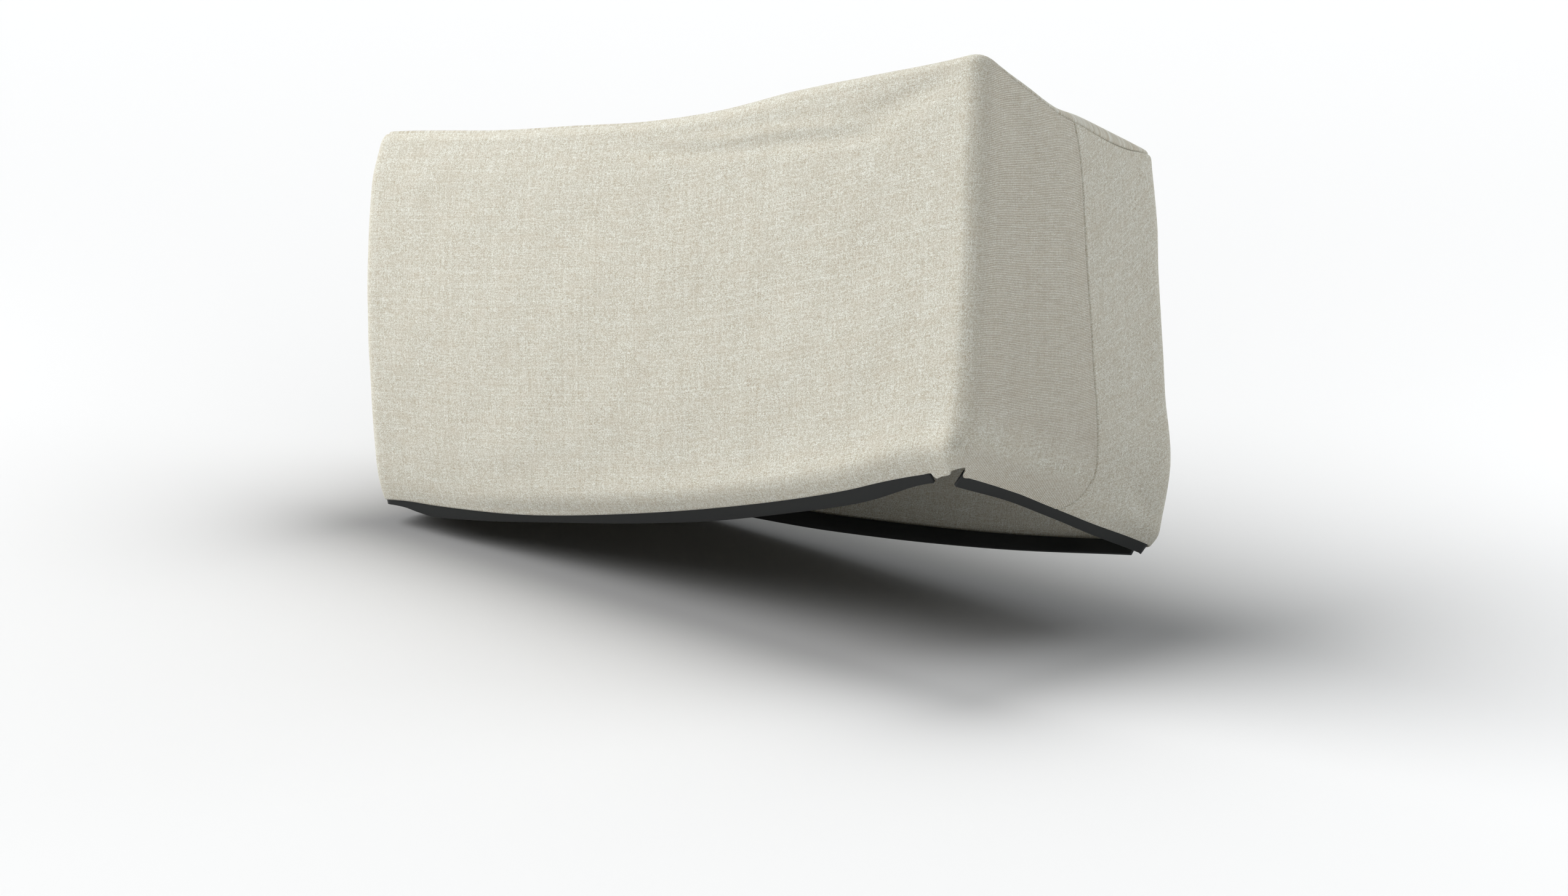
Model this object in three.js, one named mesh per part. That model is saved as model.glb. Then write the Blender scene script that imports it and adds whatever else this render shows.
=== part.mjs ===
// Fitted cloth cover for one sofa module, lifted at its near right corner, with stiff strips
// held inside its hem. Millimetres, +Z up: X runs along the long front, Y from front to back.
// Heights are worked out above the floor that the module stands on. At the end everything is
// moved so that the origin is the point under the top where the module carries the cover.
import * as THREE from 'three';

// Driving dimensions
const LENGTH = 1194;
const DEPTH = 380;
const WALL = 572;          // cloth from the hem line up to the top
const CORNER = 30;         // radius of the upright corners
const EDGE = 18;           // radius of the top edge
const CLOTH = 2.5;
const SEAM_GAP = 0.55;
const STRIP = { thick: 5, inset: CLOTH + 0.8, step: 3 };
const ROLL_START = WALL - EDGE;
const ROLL_END = ROLL_START + EDGE * Math.PI / 2;

// The wings of the front panel end in a seam on each end of the cover: its place across the end
// at lengths up the cloth. It leans towards the front as it rises, and its foot is rounded.
const WING_SEAM = [
  { up: -12, y: -10 },
  { up: 0, y: 6 },
  { up: 12, y: 19 },
  { up: 30, y: 31 },
  { up: 48, y: 38 },
  { up: 68, y: 40 },
  { up: 90, y: 37 },
  { up: 130, y: 31 },
  { up: 200, y: 26 },
  { up: 280, y: 20 },
  { up: 360, y: 15.5 },
  { up: 440, y: 11 },
  { up: 500, y: 8 },
  { up: 535, y: 4 },
  { up: 575, y: -6 },
];

// Height of the hem above the floor, and how far the top edge stands above or below its place
const FRONT_EDGE = [
  { x: -600, hem: 35, top: -6 },
  { x: -500, hem: 49, top: -4 },
  { x: -340, hem: 71, top: -3 },
  { x: -185, hem: 98, top: -2 },
  { x: -35, hem: 127, top: -4 },
  { x: 110, hem: 159, top: 0 },
  { x: 250, hem: 198, top: 7 },
  { x: 385, hem: 240, top: 4 },
  { x: 516, hem: 291, top: -10 },
  { x: 600, hem: 310, top: -2 },
];
const BACK_EDGE = [
  { x: -600, hem: 24, top: -46 },
  { x: -400, hem: 25, top: -40 },
  { x: -200, hem: 32, top: -30 },
  { x: 0, hem: 44, top: -20 },
  { x: 300, hem: 76, top: -12 },
  { x: 600, hem: 121, top: -11 },
];

// Between the corners of the lifted end its top edge hangs through and its hem is drawn up
const END_EDGE = [
  { y: -190, sag: 0, drawn: 0 },
  { y: -150, sag: 7, drawn: 2 },
  { y: -95, sag: 12, drawn: 4 },
  { y: -30, sag: 18, drawn: 5 },
  { y: 20, sag: 11, drawn: 6 },
  { y: 90, sag: 6, drawn: 4 },
  { y: 190, sag: 0, drawn: 0 },
];
const END_REACH = 500;     // both fade out this far along the cover
const FADE = { top: 1.5, sag: 2, drawn: 2 }; // powers of the height by which they fade on the walls

// Sideways lean of the upright corners, at heights above the hem
const LEAN_WAY = { x: 0.72, y: 0.69 };
const LEAN = [
  { z: 0, near: -22, far: 24, left: 0 },
  { z: 30, near: -20, far: 28, left: -7 },
  { z: 70, near: -9, far: 34, left: -11 },
  { z: 130, near: -3, far: 39, left: -15 },
  { z: 220, near: 1, far: 30, left: -18 },
  { z: 350, near: 5, far: 18, left: -18 },
  { z: 450, near: 8, far: 13, left: -12 },
  { z: 500, near: 10, far: 8, left: -7 },
  { z: 545, near: 11, far: 3, left: 5 },
  { z: 590, near: 12, far: 0, left: 18 },
];

// Lengths round the outline, from the back corner of the left end, along the front and back again
const HALF = { x: LENGTH / 2, y: DEPTH / 2 };
const INNER = { x: HALF.x - CORNER, y: HALF.y - CORNER };
const ARC = CORNER * Math.PI / 2;
const LEFT_END = 2 * INNER.y;
const FRONT_START = LEFT_END + ARC;
const FRONT_END = FRONT_START + 2 * INNER.x;
const RIGHT_START = FRONT_END + ARC;
const RIGHT_END = RIGHT_START + 2 * INNER.y;
const BACK_START = RIGHT_END + ARC;
const BACK_END = BACK_START + 2 * INNER.x;
const ROUND = BACK_END + ARC;
const alongLeft = (y) => INNER.y - y;
const alongFront = (x) => FRONT_START + INNER.x + x;
const alongRight = (y) => RIGHT_START + INNER.y + y;
const alongBack = (x) => BACK_START + INNER.x - x;

// The hem round the outline: how steeply it tucks in, the height of the tuck, and how far the
// cloth and the strips behind it reach below the hem line
const HEM = [
  { at: 0, tuck: 16, tall: 28, hang: 8, strip: 22 },
  { at: alongLeft(0), tuck: 12, tall: 26, hang: 8, strip: 22 },
  { at: LEFT_END, tuck: 6, tall: 16, hang: 3, strip: 14 },
  { at: alongFront(-585), tuck: 5, tall: 16, hang: 0, strip: 8 },
  { at: alongFront(-540), tuck: 5, tall: 16, hang: -1, strip: 10 },
  { at: alongFront(-505), tuck: 6, tall: 16, hang: 0, strip: 17 },
  { at: alongFront(-470), tuck: 7, tall: 17, hang: 2, strip: 22 },
  { at: alongFront(-400), tuck: 10, tall: 20, hang: 4, strip: 22 },
  { at: alongFront(-235), tuck: 18, tall: 28, hang: 8, strip: 21 },
  { at: alongFront(-40), tuck: 26, tall: 34, hang: 4, strip: 22 },
  { at: alongFront(110), tuck: 31, tall: 38, hang: 0, strip: 22 },
  { at: alongFront(250), tuck: 34, tall: 40, hang: 0, strip: 22 },
  { at: alongFront(420), tuck: 36, tall: 43, hang: -1, strip: 22 },
  { at: alongFront(520), tuck: 38, tall: 45, hang: 3, strip: 18.5 },
  { at: RIGHT_START, tuck: 40, tall: 46, hang: 1, strip: 25 },
  { at: alongRight(-60), tuck: 34, tall: 40, hang: 2, strip: 19.3 },
  { at: alongRight(50), tuck: 16, tall: 28, hang: 6, strip: 22 },
  { at: alongRight(130), tuck: 28, tall: 26, hang: 4, strip: 22 },
  { at: BACK_START, tuck: 28, tall: 28, hang: 4, strip: 22 },
  { at: alongBack(0), tuck: 20, tall: 30, hang: 8, strip: 22 },
  { at: ROUND, tuck: 16, tall: 28, hang: 8, strip: 22 },
];
const HEM_STRAIGHT = 0.25; // share of the tuck's height that is straight, at the hem

// Lower edge of the cloth at the lifted corner, where it hangs between two strips and is cut up
// into a notch beside the second one
const CORNER_HEM = [
  { at: RIGHT_START - 94, edge: -3 },
  { at: RIGHT_START - 79, edge: -3 },
  { at: RIGHT_START - 76, edge: -10 },
  { at: RIGHT_START - 64, edge: -8 },
  { at: RIGHT_START - 50, edge: -6 },
  { at: RIGHT_START - 38, edge: -1 },
  { at: RIGHT_START - 22, edge: 3 },
  { at: RIGHT_START - 2, edge: 8.5 },
  { at: RIGHT_START + 3, edge: 8.5 },
  { at: RIGHT_START + 7, edge: -4.5 },
  { at: RIGHT_START + 18, edge: -4 },
  { at: RIGHT_START + 50, edge: -3 },
  { at: RIGHT_START + 100, edge: -2 },
];

// Where each strip starts and ends round the outline, and how far it reaches above the hem line
const STRIPS = [
  { name: 'front_strip', from: FRONT_START - ARC / 2, to: alongFront(528), above: 4 },
  { name: 'right_strip', from: RIGHT_START + 7, to: RIGHT_END + 17, above: 2 },
  { name: 'back_strip', from: BACK_START + 12, to: BACK_END - 8, above: 4 },
  { name: 'left_strip', from: 8, to: LEFT_END - 14, above: 4 },
];

// How far round the top edge the top panel is sewn on, in degrees from upright
const TOP_SEAM = [
  { at: 0, turn: 45 },
  { at: LEFT_END, turn: 50 },
  { at: FRONT_START, turn: 58 },
  { at: FRONT_END, turn: 58 },
  { at: RIGHT_START, turn: 40 },
  { at: alongRight(-130), turn: 24 },
  { at: alongRight(-60), turn: 22 },
  { at: alongRight(-20), turn: 16 },
  { at: alongRight(12), turn: 2 },
  { at: alongRight(50), turn: -9 },
  { at: alongRight(90), turn: -9 },
  { at: alongRight(125), turn: 2 },
  { at: RIGHT_END, turn: 30 },
  { at: BACK_START, turn: 40 },
  { at: alongBack(400), turn: 45 },
  { at: ROUND, turn: 45 },
];

// Fullness in the middle of each side, and the main folds of the walls: centre, half length,
// half width, slope in degrees and rise
const FULL = { left: 6, front: 3, right: 8, back: 8 };
const WALL_FOLDS = [
  { name: 'crease under the top edge', at: alongFront(170), up: 524, run: 250, wide: 13, slope: -4, rise: -5 },
  { name: 'roll above that crease', at: alongFront(190), up: 545, run: 290, wide: 15, slope: -3, rise: 4 },
  { name: 'pull to the lifted corner', at: alongFront(470), up: 520, run: 130, wide: 20, slope: 14, rise: -4 },
  { name: 'dent by the lifted corner', at: alongRight(-110), up: 490, run: 110, wide: 26, slope: -38, rise: -4 },
  { name: 'slack low on the back', at: alongBack(-260), up: 130, run: 330, wide: 45, slope: 2, rise: 14 },
  { name: 'slack high on the back', at: alongBack(-220), up: 400, run: 320, wide: 50, slope: -4, rise: 10 },
  { name: 'slack on the left end', at: alongLeft(10), up: 150, run: 150, wide: 45, slope: -6, rise: 9 },
];
// Folds of the top: centre, half length, half width, turn in degrees and rise
const TOP_FOLDS = [
  { name: 'puffed edge by the far corner', x: 560, y: 95, run: 100, wide: 26, turn: 90, rise: 7 },
  { name: 'trough across the top', x: 230, y: 20, run: 260, wide: 60, turn: 24, rise: -7 },
];

const clamp = THREE.MathUtils.clamp;
const radians = THREE.MathUtils.degToRad;

// Smooth curve through one column of a table, read at a place in its key column
function read(table, key, column, place) {
  const last = table.length - 1;
  const t = clamp(place, table[0][key], table[last][key]);
  let i = 0;
  while (i < last - 1 && t > table[i + 1][key]) i += 1;
  const slopeAt = (k) => {
    const before = table[Math.max(k - 1, 0)];
    const after = table[Math.min(k + 1, last)];
    return (after[column] - before[column]) / (after[key] - before[key]);
  };
  const step = table[i + 1][key] - table[i][key];
  const q = (t - table[i][key]) / step;
  const ease = q * q * (3 - 2 * q);
  const leave = slopeAt(i) * step * q * (1 - q) * (1 - q);
  const arrive = slopeAt(i + 1) * step * q * q * (1 - q);
  return table[i][column] * (1 - ease) + table[i + 1][column] * ease + leave - arrive;
}

// Point and outward direction on the rounded rectangle that the cover is in plan
function outline(s) {
  const place = s > ROUND ? s - ROUND : s;
  const turn = (cx, cy, angle) => {
    const nx = Math.cos(angle);
    const ny = Math.sin(angle);
    return { x: cx + CORNER * nx, y: cy + CORNER * ny, nx, ny };
  };
  if (place <= LEFT_END) return { x: -HALF.x, y: INNER.y - place, nx: -1, ny: 0 };
  if (place <= FRONT_START) return turn(-INNER.x, -INNER.y, Math.PI + (place - LEFT_END) / CORNER);
  if (place <= FRONT_END) return { x: place - FRONT_START - INNER.x, y: -HALF.y, nx: 0, ny: -1 };
  if (place <= RIGHT_START) return turn(INNER.x, -INNER.y, (place - RIGHT_START) / CORNER);
  if (place <= RIGHT_END) return { x: HALF.x, y: place - RIGHT_START - INNER.y, nx: 1, ny: 0 };
  if (place <= BACK_START) return turn(INNER.x, INNER.y, (place - RIGHT_END) / CORNER);
  if (place <= BACK_END) return { x: INNER.x - (place - BACK_START), y: HALF.y, nx: 0, ny: 1 };
  return turn(-INNER.x, INNER.y, Math.PI / 2 + (place - BACK_END) / CORNER);
}

// Upright section of the wall at a length s round the outline: how far in and how high the cloth
// lies, a length up from the hem line
function section(s, up) {
  if (up > ROLL_START) {
    const roll = (up - ROLL_START) / EDGE;
    return { inward: EDGE * (1 - Math.cos(roll)), z: ROLL_START + EDGE * Math.sin(roll) };
  }
  const place = s > ROUND ? s - ROUND : s;
  const tall = read(HEM, 'at', 'tall', place);
  if (up >= tall) return { inward: 0, z: up };
  const tuck = radians(read(HEM, 'at', 'tuck', place));
  const straight = tall * HEM_STRAIGHT;
  const bend = (tall - straight) / tuck;
  const angle = Math.min((tall - up) / bend, tuck);
  const rest = Math.max(straight - up, 0);
  return {
    inward: bend * (1 - Math.cos(angle)) + rest * Math.sin(tuck),
    z: tall - bend * Math.sin(angle) - rest * Math.cos(tuck),
  };
}

// Rise of one fold at a distance along and across from its centre
function foldRise(fold, along, across) {
  if (Math.abs(along) >= fold.run) return 0;
  return fold.rise * Math.cos(along / fold.run * Math.PI / 2) ** 2 * Math.exp(-((across / fold.wide) ** 2));
}

// Outward relief of the walls: the fullness of each side and the main folds
function relief(s, up) {
  const place = s > ROUND ? s - ROUND : s;
  const swell = (from, to, amount) => {
    const q = clamp((place - from) / (to - from), 0, 1);
    return amount * Math.sin(Math.PI * q) ** 2;
  };
  const fullness = swell(0, LEFT_END, FULL.left) + swell(FRONT_START, FRONT_END, FULL.front)
    + swell(RIGHT_START, RIGHT_END, FULL.right) + swell(BACK_START, BACK_END, FULL.back);
  let out = fullness * Math.sin(Math.PI * clamp(up / WALL, 0, 1));
  for (const fold of WALL_FOLDS) {
    const cos = Math.cos(radians(fold.slope));
    const sin = Math.sin(radians(fold.slope));
    const side = place - fold.at;
    const rise = up - fold.up;
    out += foldRise(fold, side * cos + rise * sin, rise * cos - side * sin);
  }
  return out;
}

// Sets a point of the upright, level cover where the lifted, leaning cover has it
function settle(x, y, z) {
  const right = clamp((x + HALF.x) / LENGTH, 0, 1);
  const back = clamp((y + HALF.y) / DEPTH, 0, 1);
  const share = clamp(z / WALL, 0, 1);
  const lean = right * (1 - back) * read(LEAN, 'z', 'near', z)
    + right * back * read(LEAN, 'z', 'far', z) + (1 - right) * (1 - back) * read(LEAN, 'z', 'left', z);
  const hem = (1 - back) * read(FRONT_EDGE, 'x', 'hem', x) + back * read(BACK_EDGE, 'x', 'hem', x);
  const top = (1 - back) * read(FRONT_EDGE, 'x', 'top', x) + back * read(BACK_EDGE, 'x', 'top', x);
  const end = clamp((x - HALF.x + END_REACH) / END_REACH, 0, 1);
  const sag = end * end * read(END_EDGE, 'y', 'sag', y);
  const drawn = end * end * read(END_EDGE, 'y', 'drawn', y);
  const height = z + hem + share ** FADE.top * top - share ** FADE.sag * sag
    + (1 - share) ** FADE.drawn * drawn;
  return new THREE.Vector3(x + lean * LEAN_WAY.x, y + lean * LEAN_WAY.y, height);
}

// Outer face of the walls, by length round the outline and length up the cloth
function wallPoint(s, up) {
  const edge = outline(s);
  const at = section(s, up);
  const inward = at.inward - relief(s, up);
  return settle(edge.x - edge.nx * inward, edge.y - edge.ny * inward, at.z);
}

// Outer face of the top
function topPoint(x, y) {
  let z = WALL;
  for (const fold of TOP_FOLDS) {
    const cos = Math.cos(radians(fold.turn));
    const sin = Math.sin(radians(fold.turn));
    const dx = x - fold.x;
    const dy = y - fold.y;
    z += foldRise(fold, dx * cos + dy * sin, dy * cos - dx * sin);
  }
  return settle(x, y, z);
}

// A place on a face with its outward direction, from a function of two lengths
function placeOn(face, a, b) {
  const step = 0.5;
  const first = face(a + step, b).sub(face(a - step, b));
  const second = face(a, b + step).sub(face(a, b - step));
  return { point: face(a, b), out: first.cross(second).normalize() };
}
const wallPlace = (s, up) => placeOn(wallPoint, Math.max(s, 0.5), up);
const topPlace = (x, y) => placeOn(topPoint, x, y);

// Closed solid from a patch of places and its triangles: one skin at an inset behind the face,
// one a thickness further in, and a rim wherever a triangle has no neighbour. The rim's quads are
// split by their way in space, so that the rims on the two sides of a seam stay parallel.
const RIM_WAY = new THREE.Vector3(1, 2, 0.5);
function solidFrom(name, colour, roughness, places, faces, inset, thick) {
  const count = places.length;
  const positions = [];
  for (const depth of [inset, inset + thick]) {
    for (const { point, out } of places) {
      positions.push(...point.clone().addScaledVector(out, -depth).toArray());
    }
  }
  const index = [];
  const open = new Map();
  for (const [a, b, c] of faces) {
    index.push(a, b, c, c + count, b + count, a + count);
    for (const [from, to] of [[a, b], [b, c], [c, a]]) {
      if (!open.delete(`${to} ${from}`)) open.set(`${from} ${to}`, [from, to]);
    }
  }
  for (const [from, to] of open.values()) {
    const ahead = places[to].point.clone().sub(places[from].point).dot(RIM_WAY) > 0;
    if (ahead) index.push(from, from + count, to, to, from + count, to + count);
    else index.push(from, from + count, to + count, from, to + count, to);
  }
  const geometry = new THREE.BufferGeometry();
  geometry.setAttribute('position', new THREE.Float32BufferAttribute(positions, 3));
  geometry.setIndex(index);
  geometry.computeVertexNormals();
  const material = new THREE.MeshStandardMaterial({ color: colour, roughness, metalness: 0 });
  const mesh = new THREE.Mesh(geometry, material);
  mesh.name = name;
  return mesh;
}

// Triangles of a grid of places stored column by column
function gridFaces(columns, rows) {
  const faces = [];
  for (let i = 0; i < columns - 1; i += 1) {
    for (let j = 0; j < rows - 1; j += 1) {
      const a = i * rows + j;
      const b = a + rows;
      faces.push([a, b, b + 1], [a, b + 1, a + 1]);
    }
  }
  return faces;
}

// Columns of a panel: each gives its length round the outline at a height up the cloth. Both ends
// and both long sides have the same ones, so that the top's grid can join them.
const BY_CORNER = [3, 7, 18];
const NEXT = BY_CORNER[BY_CORNER.length - 1];
const BY_CUT = [29, 32];   // columns this far from the lifted end's corners
const STEPS = { wing: 6, far: 4, side: 23, corner: 4, liftedCorner: 6 };
const fixed = (s) => () => s;
function spread(from, to, steps) {
  return Array.from({ length: steps + 1 }, (_, k) => (up) => from(up) + (to(up) - from(up)) * k / steps);
}
const joined = (...stretches) => stretches.flatMap((columns, k) => (k ? columns.slice(1) : columns));
const rightSeam = (side) => (up) => alongRight(wingSeam(up)) + side * SEAM_GAP / 2;
const leftSeam = (side) => (up) => alongLeft(wingSeam(up)) + side * SEAM_GAP / 2;
const FRONT_COLUMNS = joined(
  spread(leftSeam(1), fixed(LEFT_END - NEXT), STEPS.wing),
  [0, ...BY_CORNER].map((by) => fixed(LEFT_END - by)).reverse(),
  spread(fixed(LEFT_END), fixed(FRONT_START), STEPS.corner),
  spread(fixed(FRONT_START), fixed(FRONT_END - BY_CUT[1]), STEPS.side),
  [fixed(FRONT_END - BY_CUT[1]), fixed(FRONT_END - BY_CUT[0]), fixed(FRONT_END)],
  spread(fixed(FRONT_END), fixed(RIGHT_START), STEPS.liftedCorner),
  [0, ...BY_CORNER].map((by) => fixed(RIGHT_START + by)),
  spread(fixed(RIGHT_START + NEXT), rightSeam(-1), STEPS.wing),
);
const wrapped = (column) => (up) => column(up) + ROUND;
const BACK_COLUMNS = joined(
  spread(rightSeam(1), fixed(RIGHT_END), STEPS.far),
  spread(fixed(RIGHT_END), fixed(BACK_START), STEPS.corner),
  [fixed(BACK_START), fixed(BACK_START + BY_CUT[0]), fixed(BACK_START + BY_CUT[1])],
  spread(fixed(BACK_START + BY_CUT[1]), fixed(BACK_END), STEPS.side),
  spread(fixed(BACK_END), fixed(ROUND), STEPS.corner),
  spread(fixed(ROUND), wrapped(leftSeam(-1)), STEPS.far),
);

// Upright seam of the wings: its place across an end, at a length up the cloth
function wingSeam(up) {
  return read(WING_SEAM, 'up', 'y', up);
}

// Seam of the top panel: its height up the cloth
function topSeam(s) {
  return ROLL_START + EDGE * radians(read(TOP_SEAM, 'at', 'turn', s > ROUND ? s - ROUND : s));
}

// Lower edge of the cloth, up from the hem line
function hemEdge(s) {
  const place = s > ROUND ? s - ROUND : s;
  const atCorner = place > CORNER_HEM[0].at && place < CORNER_HEM[CORNER_HEM.length - 1].at;
  return atCorner ? read(CORNER_HEM, 'at', 'edge', place) : -read(HEM, 'at', 'hang', place);
}

// Heights of the rows of a wall panel: a few that follow the hem, then the same all round
const HEM_TOP = 48;
const HEM_ROWS = 7;
const HEM_CROWDING = 1.6;  // above 1, the rows lie closer together towards the hem
const WALL_ROWS = [90, 140, 200, 270, 340, 410, 465, 500, 518];
const LAST_ROW = 534;
const ROLL_ROWS = 4;
function wallPanel(name, columns) {
  const places = [];
  for (const column of columns) {
    const low = hemEdge(column(0));
    const high = topSeam(column(ROLL_END)) - SEAM_GAP / 2;
    const rows = [];
    for (let k = 0; k <= HEM_ROWS; k += 1) rows.push(low + (HEM_TOP - low) * (k / HEM_ROWS) ** HEM_CROWDING);
    rows.push(...WALL_ROWS);
    for (let k = 0; k <= ROLL_ROWS; k += 1) rows.push(LAST_ROW + (high - LAST_ROW) * k / ROLL_ROWS);
    for (const up of rows) places.push(wallPlace(column(up), up));
  }
  const rows = places.length / columns.length;
  return solidFrom(name, CLOTH_COLOUR, CLOTH_ROUGHNESS, places, gridFaces(columns.length, rows), 0, CLOTH);
}

// The top panel: rings round its edge, then a grid over the flat middle whose outermost
// places are shared with the inner ring, so that each upright corner fans into one grid corner
const GRID_INSET = 1;      // the grid ends this far inside the rounded edge
const SAME = 0.01;         // stations closer than this are one
function stations(values) {
  const sorted = values.sort((a, b) => a - b);
  return sorted.filter((value, i) => i === 0 || value - sorted[i - 1] > SAME);
}
function nearest(list, value) {
  const away = list.map((station) => Math.abs(station - value));
  return away.indexOf(Math.min(...away));
}
function topPanel(name) {
  const columns = [...FRONT_COLUMNS, ...BACK_COLUMNS.slice(1, -1)];
  const flat = { x: INNER.x - GRID_INSET, y: INNER.y - GRID_INSET };
  const places = [];
  const ringAt = (share) => columns.map((column) => {
    const low = topSeam(column(ROLL_END)) + SEAM_GAP / 2;
    const up = low + (ROLL_END - low) * share;
    return places.push(wallPlace(column(up), up)) - 1;
  });
  const rings = [ringAt(0), ringAt(0.5), ringAt(1)];
  const edges = columns.map((column) => outline(column(ROLL_END)));
  const xs = stations(edges.map(({ x }) => clamp(x, -flat.x, flat.x)));
  const ys = stations(edges.map(({ y }) => clamp(y, -flat.y, flat.y)));
  const first = places.length;
  for (const x of xs) {
    for (const y of ys) places.push(topPlace(x, y));
  }
  rings.push(edges.map(({ x, y }) => first + nearest(xs, x) * ys.length + nearest(ys, y)));
  const faces = gridFaces(xs.length, ys.length).map((face) => face.map((v) => v + first));
  for (let r = 0; r < rings.length - 1; r += 1) {
    for (let i = 0; i < columns.length; i += 1) {
      const next = (i + 1) % columns.length;
      const [a, b, c, d] = [rings[r][i], rings[r][next], rings[r + 1][next], rings[r + 1][i]];
      faces.push([a, b, d]);
      if (c !== d) faces.push([b, c, d]);
    }
  }
  return solidFrom(name, CLOTH_COLOUR, CLOTH_ROUGHNESS, places, faces, 0, CLOTH);
}

// A stiff strip held inside the hem, with its steps at the columns of the cloth in front of it
function hemStrip({ name, from, to, above }) {
  const columns = [...FRONT_COLUMNS, ...BACK_COLUMNS].map((column) => column(0));
  const between = columns.filter((s) => s > from + STRIP.step && s < to - STRIP.step).sort((a, b) => a - b);
  const lengths = [from, ...between.filter((s, i) => i === 0 || s - between[i - 1] > STRIP.step), to];
  const places = lengths.flatMap((s) => {
    const low = -read(HEM, 'at', 'strip', s > ROUND ? s - ROUND : s);
    return [low, (low + above) / 2, above].map((up) => wallPlace(s, up));
  });
  const faces = gridFaces(lengths.length, 3);
  return solidFrom(name, STRIP_COLOUR, STRIP_ROUGHNESS, places, faces, STRIP.inset, STRIP.thick);
}

const CLOTH_COLOUR = 0xcdc8b9;
const CLOTH_ROUGHNESS = 0.95;
const STRIP_COLOUR = 0x2f3131;
const STRIP_ROUGHNESS = 0.5;

const cover = new THREE.Group();
cover.add(
  wallPanel('front_panel', FRONT_COLUMNS),
  wallPanel('back_panel', BACK_COLUMNS),
  topPanel('top_panel'),
  ...STRIPS.map(hemStrip),
);

// The origin is the point under the middle of the top where the module carries the cover
const carried = topPlace(0, 0);
cover.position.copy(carried.point).addScaledVector(carried.out, -CLOTH).negate();

export default cover;
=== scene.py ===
"""Looks of the fitted cloth cover: finer panels on the shape of the CAD solids, with the seams,
the smaller folds and the weave, and the stiff strips behind the hem. Lengths are in metres in
Blender, and in millimetres in the tables and shape functions, which follow the CAD source."""
import math

import bpy
import numpy as np
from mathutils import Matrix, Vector


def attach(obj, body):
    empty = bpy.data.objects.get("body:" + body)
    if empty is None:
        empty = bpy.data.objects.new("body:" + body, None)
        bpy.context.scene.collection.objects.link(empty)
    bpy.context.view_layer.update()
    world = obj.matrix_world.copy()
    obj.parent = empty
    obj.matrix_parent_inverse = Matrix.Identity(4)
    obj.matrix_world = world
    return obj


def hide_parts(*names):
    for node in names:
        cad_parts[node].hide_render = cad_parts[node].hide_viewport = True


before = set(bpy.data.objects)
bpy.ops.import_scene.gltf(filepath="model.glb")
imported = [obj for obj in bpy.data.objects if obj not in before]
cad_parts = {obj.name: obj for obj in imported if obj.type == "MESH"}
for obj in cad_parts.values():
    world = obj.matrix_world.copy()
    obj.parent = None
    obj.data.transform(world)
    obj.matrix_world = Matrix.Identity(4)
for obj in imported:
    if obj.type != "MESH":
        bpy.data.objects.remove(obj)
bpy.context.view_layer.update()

PER_METRE = 1000


def table(columns, *rows):
    """A table as one array for each named column."""
    return dict(zip(columns.split(), np.array(rows, float).T))


# Sizes of the cover, as in the CAD source, whose seam gap is a little wider
LENGTH = 1194
DEPTH = 380
WALL = 572
CORNER = 30
EDGE = 18
CLOTH = 2.5
SEAM_GAP = 0.35
STRIP_THICK = 5
STRIP_INSET = CLOTH + 0.8

ROLL_START = WALL - EDGE
ROLL_END = ROLL_START + EDGE * math.pi / 2

# Upright seam of the wings: its place across an end, at lengths up the cloth
WING_SEAM = table(
    "up y",
    (-12, -10), (0, 6), (12, 19), (30, 31), (48, 38), (68, 40), (90, 37), (130, 31), (200, 26),
    (280, 20), (360, 15.5), (440, 11), (500, 8), (535, 4), (575, -6),
)

# How far the cover lies above its level box at the hem and at the top, along the front
FRONT_EDGE = table(
    "x hem top",
    (-600, 35, -6), (-500, 49, -4), (-340, 71, -3), (-185, 98, -2), (-35, 127, -4),
    (110, 159, 0), (250, 198, 7), (385, 240, 4), (516, 291, -10), (600, 310, -2),
)
# The same along the back
BACK_EDGE = table(
    "x hem top",
    (-600, 24, -46), (-400, 25, -40), (-200, 32, -30), (0, 44, -20), (300, 76, -12), (600, 121, -11),
)
# How far the lifted end sags at the top and is drawn up at the hem, across it
END_EDGE = table(
    "y sag drawn",
    (-190, 0, 0), (-150, 7, 2), (-95, 12, 4), (-30, 18, 5), (20, 11, 6), (90, 6, 4), (190, 0, 0),
)
END_REACH = 500     # both fade out this far along the cover

# Way in which the cover leans, and how far its upright edges do at a height
LEAN_X, LEAN_Y = 0.72, 0.69
LEAN = table(
    "z near far left",
    (0, -22, 24, 0), (30, -20, 28, -7), (70, -9, 34, -11), (130, -3, 39, -15), (220, 1, 30, -18),
    (350, 5, 18, -18), (450, 8, 13, -12), (500, 10, 8, -7), (545, 11, 3, 5), (590, 12, 0, 18),
)

# Lengths round the outline in plan, from the back of the left end and past the front
HALF_X, HALF_Y = LENGTH / 2, DEPTH / 2
INNER_X, INNER_Y = HALF_X - CORNER, HALF_Y - CORNER
ARC = CORNER * math.pi / 2
LEFT_END = 2 * INNER_Y
FRONT_START = LEFT_END + ARC
FRONT_END = FRONT_START + 2 * INNER_X
RIGHT_START = FRONT_END + ARC
RIGHT_END = RIGHT_START + 2 * INNER_Y
BACK_START = RIGHT_END + ARC
BACK_END = BACK_START + 2 * INNER_X
ROUND = BACK_END + ARC


def along_left(y):
    return INNER_Y - y


def along_front(x):
    return FRONT_START + INNER_X + x


def along_right(y):
    return RIGHT_START + INNER_Y + y


def along_back(x):
    return BACK_START + INNER_X - x


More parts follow.
